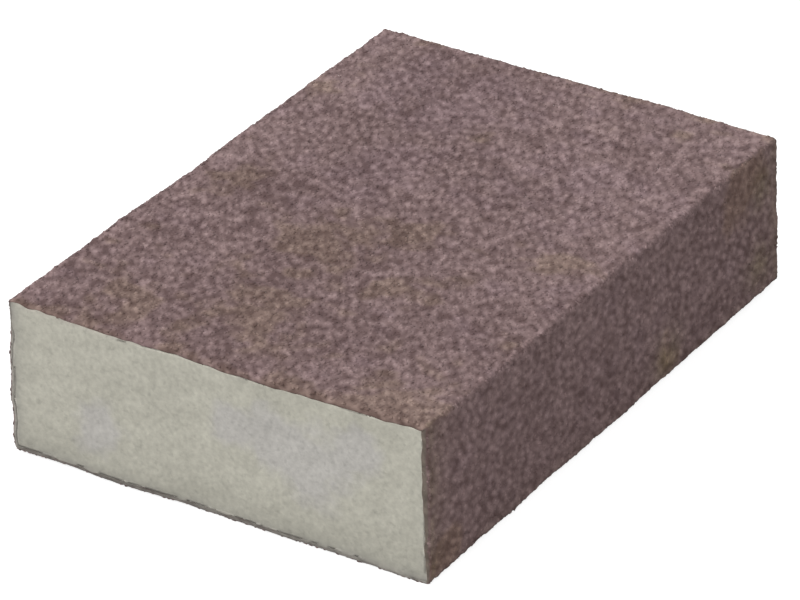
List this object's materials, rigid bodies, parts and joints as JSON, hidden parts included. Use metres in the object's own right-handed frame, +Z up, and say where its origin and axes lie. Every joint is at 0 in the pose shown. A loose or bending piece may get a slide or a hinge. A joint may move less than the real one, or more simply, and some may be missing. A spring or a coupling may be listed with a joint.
{
  "type": "sanding sponge",
  "caption": "Rectangular foam hand-sanding block with an abrasive coat wrapped round its long sides and bare foam at both ends.",
  "frame": {"origin": "centre of the face that the block lies on, at the height of the floor", "axes": "+Z up from that face, Y along the block's length between its two bare ends, X across its width"},
  "size_m": [0.07, 0.1, 0.025],
  "materials": {
    "foam": "matte",
    "grit": "matte"
  },
  "bodies": {
    "root": {"foam_block": "foam", "abrasive_coat": "grit"}
  },
  "joints": []
}
